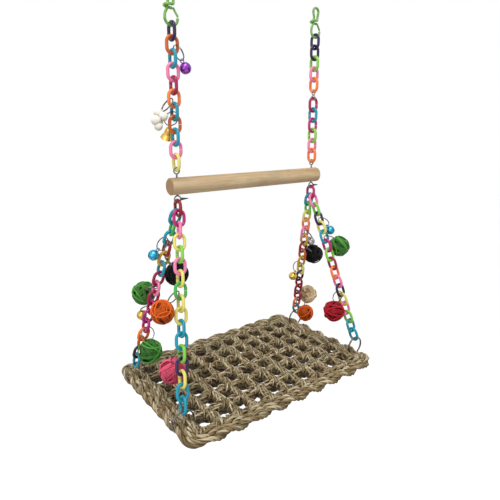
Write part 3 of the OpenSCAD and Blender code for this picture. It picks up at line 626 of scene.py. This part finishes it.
along_x, along_y = np.array([1.0, 0, 0]), np.array([0, 1.0, 0])
for j in range(rows + 1):
    x = np.linspace(-inner_len / 2 - 2, inner_len / 2 + 2, 150)
    for k in (-1, 0, 1):
        wave = 2 * np.pi * (x / col_x + 0.36 * k + 0.12 * knot.normal())
        wave = wave + 0.9 * np.sin(x / 17 + 6 * knot.random())
        y = j * row_y - inner_w / 2 + band_apart * k + band_sway * np.sin(wave)
        path = np.stack([x - mat_shift, y, mat_z + band_lift + band_rise * np.cos(wave)], -1)
        bands += stems(path, up, band_r, 2, 12 + k, knot)
        for drop, radius, turns in under_bands:
            walls += stems(path + [0, 0, -drop], up, radius, 2, turns + k, knot)
for c in range(cols + 1):
    for r in range(rows + 1):
        # No knot sits or leans quite like its neighbours.
        drift = knot.normal(size=8)
        peak = np.array([c * col_x - inner_len / 2 - mat_shift + 0.8 * drift[0],
                         r * row_y - inner_w / 2 + 0.5 * drift[1], mat_z + knot_rise + 0.4 * drift[2]])
        for k in (-1, 0, 1):
            at = peak + (fan * k + 0.7 * drift[3 + k]) * along_x
            hitches += hitch(at, knot_hitch, along_y, (1.5 + 0.9 * drift[4 + k]) * along_x)
        at = peak + (0.5 + 0.06 * drift[6]) * col_x * along_x - [0, 0, 0.9]
        hitches += hitch(at, loose_hitch, along_y, (1.0 + 0.5 * drift[7]) * along_x)
        if r == rows:
            continue
        foot = peak + [0.6 * drift[5], row_y, 0]
        for k in (-1, 0, 1):
            start, end = peak + [fan * k, 3.0, -1.4], foot + [fan / 2 * k + drift[6], -3.0, -0.6]
            straps += strand(start, end, strap_r, 2, 0.7 + 0.2 * drift[3 + k], 0.7, 0.8 * drift[k])
            walls += strand(start + [0, 0, -4.2], end + [0, 0, -4.6], wall_r, 2, 1.2, -0.2, drift[k])
        for s in (0.36, 0.62):
            at = peak + (foot - peak) * s + [0, 0, -0.4]
            hitches += hitch(at, strap_hitch, along_x, (1.4 + 0.5 * drift[7]) * along_y)
# Painted depth shade: the field darkens downward, and the walls, a lower layer of cords under the bands and
# straps, are painted darkest.
piece("mat_field_bands", shade_by_depth(bands, -3.4, 3.0), "mat", grass, ["mat_field"], "grass_field")
piece("mat_field_straps", shade_by_depth(straps + hitches, -4.5, 3.4), "mat", grass, ["mat_field"], "grass_field")
piece("mat_field_walls", shade_by_depth(walls, -7.5, 3.0), "mat", grass, ["mat_field"], "grass_field")


# Mat rings
# Four split rings of bright spring wire, two turns each, are threaded through the border, and the last
# link of each chain is clipped on them.
def split_ring(centre, r, wire, normal, start, phase=0.0):
    """Two turns of wire side by side: centre + r * (cos a * start + sin a * across), moved along the
    normal by one wire between the turns."""
    normal, start = np.asarray(normal, float), np.asarray(start, float)
    a = np.linspace(0, 4 * np.pi, 97) + phase
    shift = np.tanh(np.linspace(-1, 1, 97) * 7) * wire / 2
    across = np.cross(normal, start)
    path = centre + r * (np.cos(a)[:, None] * start + np.sin(a)[:, None] * across) + shift[:, None] * normal
    return tube(path, normal, wire * 0.66, 8, tone=0.5)


mat_ring_w, mat_ring_wire, ring_rise = 23.4, 2.0, 7.0
mat_ring_r = (mat_ring_w - mat_ring_wire) / 2
spring_wire = bright_wire("split ring steel", paint(62, 58, 54), paint(150, 146, 140), 0.2)
mat_rings = []
for sx in (-1, 1):
    for sy in (-1, 1):
        centre = np.array([sx * ring_x, sy * ring_y, mat_z + ring_rise])
        mat_rings.append(split_ring(centre, mat_ring_r, mat_ring_wire / 2, (0, 1, 0), (0, 0, -1), 0.6 * sy))
piece("mat_split_rings", mat_rings, "mat", spring_wire, ["mat_rings"], "steel")


# Toys
# Each toy hangs on its own small split ring, which goes through one link and lets the toy lean on the
# chain. The places come from the link, the side it hangs on and the size of the toy.
toy_ring_r, toy_ring_wire, bite, chain_room = 6.9, 1.2, 1.5, 0.4
ball_r, small_ball_r, strand_wire, ball_groups = 12.5, 11.0, 1.3, 17
toy_cross = link_w / 2 - link_wire - play - toy_ring_wire / 2


def hung(place, side, r, sink):
    """Where a toy hangs: the crossing of ring and link, the way to the toy, the ring's own axis and how
    far the toy's middle is from the crossing. The toy leans out until it clears the chain."""
    at, lateral, down = place
    reach = 2 * toy_ring_r + r - sink
    out = (r + link_w / 2 + chain_room - toy_cross) / reach
    way = lateral * side * out + down * math.sqrt(1 - out * out)
    cross = at + lateral * side * toy_cross
    return cross, way, np.cross(way, np.cross(down, lateral)), reach


def toy_ring(name, body, place, side, r, sink, turn):
    """The split ring of one toy of radius r, with its ends turned to the angle turn."""
    cross, way, axis, _ = hung(place, side, r, sink)
    centre = cross + way * toy_ring_r
    piece(name + "_wound", [split_ring(centre, toy_ring_r, toy_ring_wire / 2, axis, way, turn)],
          body, spring_wire, [name], "ring_steel")


def dyed_cane(name, deep, pale, coat=0.18):
    """Split cane dyed right through, with fine grooves along each strand. Its colour runs from deep to pale
    with the tone, which carries painted light and shade, and a little with the grain.
    """
    look = Look(name, Coat_Weight=coat, Coat_Roughness=0.22, Specular_IOR_Level=coat)
    grain = look.noise(look.stretched(look.attribute("run", 1), (160.0, 7.0, 1.0)), 3.0, 3.0)
    look.set("Base Color", look.mix(look.attribute("tone") * 0.85 + 0.15 * grain, deep, pale))
    look.set("Roughness", 0.32 + 0.25 * grain)
    look.bump(grain, 0.0004)
    return look


def wound_ball(centre, r, strand, groups, rng):
    """A ball of cane: bands of two or three strands side by side, each a circle on the ball,
    centre + flat * (cos a * p + sin a * q) + off * n, that waves a little. Every third band lies deeper and
    is painted darker, as shade. A few single strands cross the others on top, painted paler, partly for their
    paler cane and partly as painted light on them. Undersides are painted darker, as shade, and the dark core
    inside is painted shade where the real ball is hollow."""
    made = []
    for k in range(groups):
        n = unit(rng.normal(size=3))
        p = unit(np.cross(n, rng.normal(size=3)))
        q = np.cross(n, p)
        a = np.linspace(0, 2 * np.pi, 44, endpoint=False)[:, None]
        single, deep = k >= groups - 5, k % 3 == 2
        level = r - strand * (0.4 if single else 1.8 if deep else 0.7 + 0.6 * rng.random())
        first = level * 0.75 * (2 * rng.random() - 1)
        waves, shift, shade = rng.integers(3, 6), 6 * rng.random(), rng.random()
        for m in range(1 if single else rng.integers(2, 4)):
            off = first - math.copysign(m * strand * 1.12, first)
            flat = math.sqrt(level**2 - off**2) * (1 + 0.022 * np.sin(a * waves + shift))
            path = centre + off * n + flat * (np.cos(a) * p + np.sin(a) * q)
            loop = tube(path, path - centre, strand / 2, 6, True)
            # Painted light and shade: single strands on top paler, deep bands dark, and every loop darker
            # towards its underside. The group's shade and the last term differ at random.
            tone = (0.8 if single else 0.0 if deep else 0.25) + 0.35 * shade + 0.2 * rng.random()
            loop["tone"] = tone * (0.72 + 0.28 * (loop["points"] - centre)[:, 2] / r)
            made.append(loop)
    # The core skin keeps tone 0, the deep colour: painted shade where the real ball is hollow.
    u, v = np.meshgrid(np.linspace(0, 2 * np.pi, 24, endpoint=False), np.linspace(0.06, np.pi - 0.06, 13))
    core = r - strand * 2.1
    dent = core * (1 + 0.03 * np.sin(5 * u + 3 * v) * np.sin(4 * v))
    grid = np.stack([dent * np.sin(v) * np.cos(u), dent * np.sin(v) * np.sin(u), -dent * np.cos(v)], -1)
    made.append(globe(grid + centre))
    return made


def globe(grid):
    """A closed skin over rows of points, from the lowest ring to the highest, with both poles closed on
    their middles."""
    n, m = grid.shape[:2]
    points = np.vstack([grid.reshape(-1, 3), grid[0].mean(0)[None], grid[-1].mean(0)[None]])
    i, k = np.meshgrid(np.arange(n - 1), np.arange(m), indexing="ij")
    kk = (k + 1) % m
    quads = np.stack([i * m + k, i * m + kk, (i + 1) * m + kk, (i + 1) * m + k], -1).reshape(-1, 4)
    r = np.arange(m)
    tris = np.vstack([np.stack([r * 0 + n * m, (r + 1) % m, r], -1),
                      np.stack([r * 0 + n * m + 1, (n - 1) * m + r, (n - 1) * m + (r + 1) % m], -1)])
    flat = np.stack([k / m, i / n, (k + 1) / m, i / n, (k + 1) / m, (i + 1) / n, k / m, (i + 1) / n], -1)
    return dict(points=points, quads=quads, tris=tris, quad_map=flat.reshape(-1, 2) * 0.05,
                tri_map=np.zeros((len(tris) * 3, 2)), tone=np.zeros(len(points)),
                tint=np.ones((len(points), 3)))


greens = dyed_cane("green cane", paint(0, 30, 2), paint(88, 172, 66))
blacks = dyed_cane("black cane", paint(1, 1, 2), paint(20, 16, 19), 0.12)
oranges = dyed_cane("orange cane", paint(104, 22, 0), paint(244, 108, 2))
pinks = dyed_cane("pink cane", paint(136, 8, 42), paint(255, 106, 140))
creams = dyed_cane("cream cane", paint(160, 122, 74), paint(252, 230, 186))
reds = dyed_cane("red cane", paint(58, 0, 5), paint(208, 6, 40))
cane = np.random.default_rng(41)
balls = [
    ("left_green_ball", "left_green_toy", side_link(-1, 1, 8), 1, ball_r, greens),
    ("left_black_ball", "left_black_toy", side_link(-1, 1, 5), 1, ball_r, blacks),
    ("left_orange_ball", "left_orange_toy", side_link(-1, -1, 7), -1, small_ball_r, oranges),
    ("low_green_ball", "low_green_toy", side_link(-1, 1, 12), -1, ball_r, greens),
    ("left_pink_ball", "left_pink_toy", side_link(-1, -1, 12), 1, ball_r, pinks),
    ("right_green_ball", "right_green_toy", side_link(1, -1, 5), 1, ball_r, greens),
    ("right_black_ball", "right_black_toy", side_link(1, 1, 7), 1, ball_r, blacks),
    ("cream_ball", "cream_toy", side_link(1, 1, 13), 1, ball_r, creams),
    ("red_ball", "red_toy", side_link(1, -1, 11), -1, ball_r, reds),
    ("right_orange_ball", "right_orange_toy", side_link(1, 1, 14), -1, small_ball_r, oranges),
]
for name, body, place, side, r, look in balls:
    cross, way, _, far = hung(place, side, r, bite)
    ball = wound_ball(cross + way * far, r, strand_wire, ball_groups, cane)
    piece(name + "_cane", ball, body, look, [name], name + "_look")
    toy_ring(name + "_ring", body, place, side, r, bite, 0.5 + cane.random())


# Bells
# Small jingle bells of pressed sheet metal, lacquered or plated, with crossed slots and a loose pellet.
# One open gold bell has a clapper. They keep their modelled shapes.
def bell_metal(name, deep, pale, rough=0.2):
    """Lacquer over pressed metal: bright, with small dents and darker hollows."""
    look = Look(name, Metallic=0.85, Coat_Weight=0.7, Coat_Roughness=0.12)
    stains = look.noise(look.place(), 350.0)
    look.set("Base Color", look.mix(stains.between(0.35, 0.7), deep, pale))
    look.set("Roughness", rough + 0.15 * look.noise(look.place(), 900.0))
    look.bump(look.noise(look.place(), 260.0), 0.0003)
    return look


blue_bell = bell_metal("blue bell lacquer", paint(0, 118, 162), paint(60, 190, 226))
gold_bell = bell_metal("gold bell plate", paint(186, 142, 40), paint(240, 206, 96))
silver_plate = bell_metal("silver bell plate", paint(150, 150, 154), paint(226, 226, 230))
violet_bell = bell_metal("purple bell lacquer", paint(92, 20, 130), paint(168, 70, 205))
bell_r, open_bell_r, loop_r, loop_seat, loop_sunk = 5.3, 6.5, 1.65, 0.3, 0.35
bell_sink = -(loop_r - loop_sunk + loop_seat)
bells = [
    ("left_blue_bell", "left_blue_bell_toy", side_link(-1, 1, 3), -1, blue_bell),
    ("left_gold_bell", "left_gold_bell_toy", side_link(-1, 1, 10), 1, gold_bell),
    ("right_blue_bell", "right_blue_bell_toy", side_link(1, -1, 3), 1, blue_bell),
    ("silver_bell", "silver_bell_toy", side_link(1, 1, 5), 1, silver_plate),
    ("right_gold_bell", "right_gold_bell_toy", side_link(1, 1, 9), -1, gold_bell),
    ("purple_bell", "purple_bell_toy", left_link(2), 1, violet_bell),
]
for name, body, place, side, look in bells:
    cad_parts[name].material_slots[0].material = look.material
    toy_ring(name + "_ring", body, place, side, bell_r, bell_sink, 0.5 + cane.random())
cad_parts["open_bell"].material_slots[0].material = gold_bell.material
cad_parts["open_bell_clapper"].material_slots[0].material = gold_bell.material
toy_ring("open_bell_ring", "open_bell_toy", left_link(7), 1, open_bell_r, -(loop_r + loop_seat), 1.0)


# White charm
# A cluster of five pale rounded lobes of bleached cane, moulded together and dimpled, hangs on one ring by
# the left chain.
def lobe(centre, r, turn):
    """A round lobe with soft dimples: r * (1 - 0.07 * (1 + sin 3u * sin 4v)) over its two angles."""
    u, v = np.meshgrid(np.linspace(0, 2 * np.pi, 28, endpoint=False), np.linspace(0.05, np.pi - 0.05, 17))
    size = r * (1 - 0.07 * (1 + np.sin(3 * u + turn) * np.sin(4 * v + turn)))
    grid = np.stack([np.sin(v) * np.cos(u), np.sin(v) * np.sin(u), -np.cos(v)], -1) * size[..., None]
    made = globe(grid + centre)
    # Painted light and shade: the lobe's tone is paler on top and darker underneath.
    made["tone"] = np.clip(0.5 + 0.5 * (made["points"] - centre)[:, 2] / r, 0, 1)
    return made


charm_r = 7.5
whites = dyed_cane("white cane", paint(186, 178, 160), paint(248, 246, 236))
cross, way, axis, far = hung(left_link(6), -1, charm_r, bite)
core, beside = cross + way * far, np.cross(way, axis)
# Each lobe: how far down the charm, beside it and along the ring's axis, and its radius.
lobes = [(-2.6, 2.2, 1.8, 4.6), (-1.4, -3.0, -1.6, 4.3), (2.6, 2.6, -2.2, 4.5), (5.6, -2.6, 2.0, 4.6),
         (8.4, -3.2, -2.4, 4.0)]
piece("white_charm_cane", [lobe(core + way * a + beside * b + axis * c, r, 2.0 * a) for a, b, c, r in lobes],
      "white_charm_toy", whites, ["white_charm"], "white_charm_look")
toy_ring("white_charm_ring", "white_charm_toy", left_link(6), -1, charm_r, bite, 1.4)


# Floor, light and camera
# The swing hangs over a plain white floor under broad soft light, seen from a little above its left end.
floor_look = Look("white floor", Emission_Strength=0.4)
mottle = 0.02 * floor_look.noise(floor_look.place(), 3.0)
floor_look.set("Base Color", floor_look.mix(mottle, (0.93, 0.93, 0.93), (0.88, 0.88, 0.88)))
floor_look.set("Roughness", 0.9)
seen_only = floor_look.node("ShaderNodeLightPath", {}, {})
floor_look.set("Emission Color", floor_look.mix(seen_only, (0, 0, 0), (1, 1, 1)))
floor_mesh = bpy.data.meshes.new("floor")
half, floor_z = 9, -1.5
corners = [(-half, -half, floor_z), (half, -half, floor_z), (half, half, floor_z), (-half, half, floor_z)]
floor_mesh.from_pydata(corners, [], [(0, 1, 2, 3)])
floor_mesh.materials.append(floor_look.material)
floor = bpy.data.objects.new("floor", floor_mesh)
bpy.context.collection.objects.link(floor)

# The world is plain white for the camera and for mirrored rays, and softer as light on the swing.
world = bpy.data.worlds.new("soft white")
bpy.context.scene.world = world
world.use_nodes = True
tree = world.node_tree
paths = tree.nodes.new("ShaderNodeLightPath")
seen = tree.nodes.new("ShaderNodeMath")
seen.operation = "MAXIMUM"
seen_too = tree.nodes.new("ShaderNodeMath")
seen_too.operation = "MAXIMUM"
tree.links.new(paths.outputs["Is Camera Ray"], seen.inputs[0])
tree.links.new(paths.outputs["Is Glossy Ray"], seen.inputs[1])
tree.links.new(seen.outputs[0], seen_too.inputs[0])
tree.links.new(paths.outputs["Is Transmission Ray"], seen_too.inputs[1])
strength = tree.nodes.new("ShaderNodeMapRange")
soft, plain = 0.62, 1.0
strength.inputs["To Min"].default_value = soft
strength.inputs["To Max"].default_value = plain
tree.links.new(seen_too.outputs[0], strength.inputs["Value"])
background = tree.nodes["Background"]
background.inputs["Color"].default_value = (1, 1, 1, 1)
tree.links.new(strength.outputs["Result"], background.inputs["Strength"])


def lamp(name, place, aim, size, power):
    """A square area lamp at a place, turned by pitch and yaw so that it faces its aim."""
    light = bpy.data.lights.new(name, "AREA")
    light.size, light.energy = size, power
    made = bpy.data.objects.new(name, light)
    bpy.context.collection.objects.link(made)
    made.location = place
    way = np.array(aim) - np.array(place)
    pitch, yaw = math.acos(-way[2] / np.linalg.norm(way)), math.atan2(way[1], way[0])
    made.rotation_euler = (pitch, 0, yaw - math.pi / 2)


lamp("key", (-0.45, -0.6, 1.2), (0, 0, -0.25), 0.8, 16)
lamp("fill", (-1.3, -0.7, 0.0), (0, 0, -0.3), 1.2, 7)

frame_px, focal_px, raised_px = 500, 446.2, 22.7
camera = bpy.data.cameras.new("camera")
camera.sensor_width, camera.lens = 36.0, focal_px / frame_px * 36.0
camera.shift_y = -raised_px / frame_px
camera.clip_start, camera.clip_end = 0.01, 50
eye = bpy.data.objects.new("camera", camera)
bpy.context.collection.objects.link(eye)
eye.location = (-0.2839, -0.3669, -0.1196)
eye.rotation_euler = (math.radians(90 - 12.5), 0, math.radians(-37.53))
bpy.context.scene.camera = eye
bpy.context.scene.view_settings.view_transform = "Standard"
